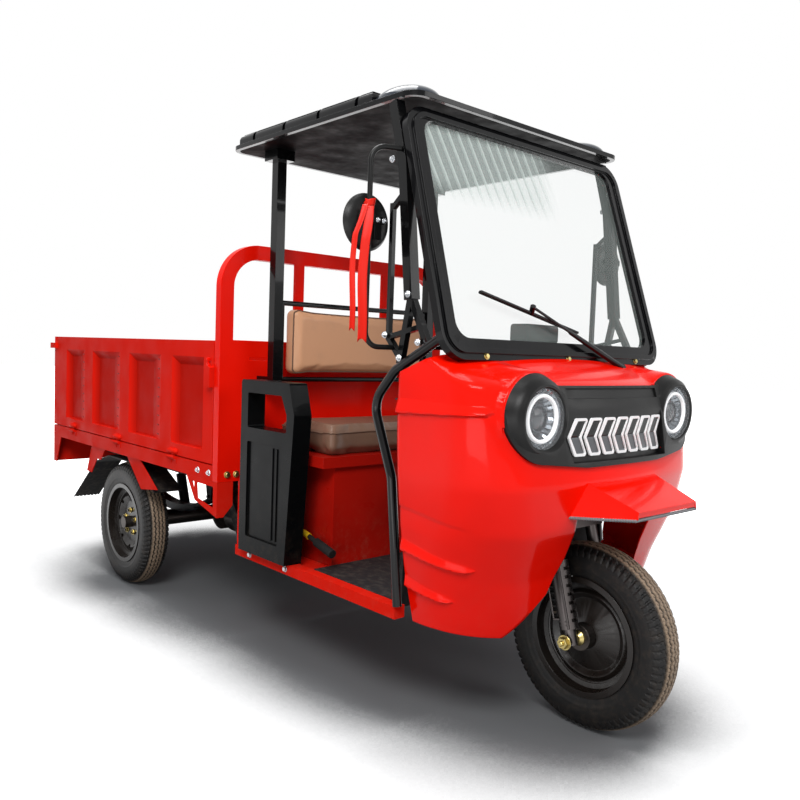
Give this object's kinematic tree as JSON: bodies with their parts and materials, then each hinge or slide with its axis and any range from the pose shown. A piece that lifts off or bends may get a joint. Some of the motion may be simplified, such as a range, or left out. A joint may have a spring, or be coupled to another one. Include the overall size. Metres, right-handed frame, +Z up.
{
  "type": "electric cargo three-wheeler",
  "caption": "Open-cab cargo tricycle with windscreen, roof, bench seat over a box, and a rear load bed with folding side and tail gates.",
  "frame": {"origin": "on the floor, at the middle of the length and width", "axes": "+X forward, +Y to the driver's left, +Z up"},
  "size_m": [3.072, 1.246, 1.7519],
  "materials": {
    "tyre_rubber": "matt black rubber",
    "rim_black": "gloss black paint",
    "hub_metal": "dark cast metal",
    "frame_black": "satin black paint",
    "tube_black": "gloss black paint",
    "bright_steel": "bare steel",
    "bed_red": "brick red paint",
    "cab_red": "gloss red",
    "trim_black": "satin black plastic",
    "roof_black": "gloss black",
    "clear_lens": "clear",
    "white_line": "gloss white",
    "mirror_face": "silvered",
    "seat_cover": "tan covering",
    "mat_black": "ribbed rubber",
    "spring_steel": "black spring steel",
    "lamp_red": "red lens",
    "lens_smoke": "smoked lens",
    "cell_case": "black case"
  },
  "bodies": {
    "body": {"arm_guards": "frame_black", "battery_box": "cell_case", "bed_floor": "bed_red", "brake_pedal": "frame_black", "cab_floor": "frame_black", "chassis_frame": "frame_black", "dash_panel": "trim_black", "floor_mat": "mat_black", "front_cowl": "cab_red", "front_pillars": "tube_black", "front_visor": "cab_red", "grab_tubes": "tube_black", "grille_chevrons": "white_line", "grille_panel": "trim_black", "hand_brake": "tube_black", "headboard": "bed_red", "lamp_bowls": "white_line", "lamp_lenses": "clear_lens", "leaf_springs": "spring_steel", "mirror_glass": "mirror_face", "mirrors": "tube_black", "mudguards": "mat_black", "rear_axle": "hub_metal", "rear_posts": "tube_black", "roof": "roof_black", "roof_lamps": "lens_smoke", "roof_lining": "roof_black", "seat_back": "seat_cover", "seat_box": "cab_red", "shock_absorbers": "spring_steel", "side_brackets": "bed_red", "tail_lamps": "lamp_red", "tail_panel": "bed_red", "windscreen_frame": "roof_black", "windscreen_glass": "clear_lens", "wiper": "tube_black"},
    "steering": {"fork": "bright_steel", "handlebar": "tube_black", "dial_pod": "trim_black"},
    "front_wheel": {"front_tyre": "tyre_rubber", "front_rim": "rim_black", "front_hub": "hub_metal"},
    "rear_wheel_right": {"rear_tyre_right": "tyre_rubber", "rear_rim_right": "rim_black", "rear_hub_right": "hub_metal"},
    "rear_wheel_left": {"rear_tyre_left": "tyre_rubber", "rear_rim_left": "rim_black", "rear_hub_left": "hub_metal"},
    "gate_right": {"side_gate_right": "bed_red"},
    "gate_left": {"side_gate_left": "bed_red"},
    "gate_tail": {"tail_gate": "bed_red"},
    "lid": {"seat_lid": "cab_red", "seat_cushion": "seat_cover"}
  },
  "joints": [
    {"name": "steer", "type": "hinge", "parent": "body", "child": "steering", "pos_m": [1.248, 0, 0.258], "axis": [-0.2588, 0, 0.9659], "range_deg": [-30, 30]},
    {"name": "front_roll", "type": "hinge", "parent": "steering", "child": "front_wheel", "pos_m": [1.278, 0, 0.258], "axis": [0, 1, 0], "continuous": true},
    {"name": "rear_roll_right", "type": "hinge", "parent": "body", "child": "rear_wheel_right", "pos_m": [-0.744, -0.4505, 0.258], "axis": [0, 1, 0], "continuous": true},
    {"name": "rear_roll_left", "type": "hinge", "parent": "body", "child": "rear_wheel_left", "pos_m": [-0.744, 0.4505, 0.258], "axis": [0, 1, 0], "continuous": true},
    {"name": "gate_right_fold", "type": "hinge", "parent": "body", "child": "gate_right", "pos_m": [-0.744, -0.5333, 0.6065], "axis": [1, 0, 0], "range_deg": [0, 170]},
    {"name": "gate_left_fold", "type": "hinge", "parent": "body", "child": "gate_left", "pos_m": [-0.744, 0.5333, 0.6065], "axis": [-1, 0, 0], "range_deg": [0, 170]},
    {"name": "gate_tail_fold", "type": "hinge", "parent": "body", "child": "gate_tail", "pos_m": [-1.5273, 0, 0.6065], "axis": [0, -1, 0], "range_deg": [0, 170]},
    {"name": "seat_lid_open", "type": "hinge", "parent": "body", "child": "lid", "pos_m": [0.1547, 0, 0.683], "axis": [0, -1, 0], "range_deg": [0, 38]}
  ]
}
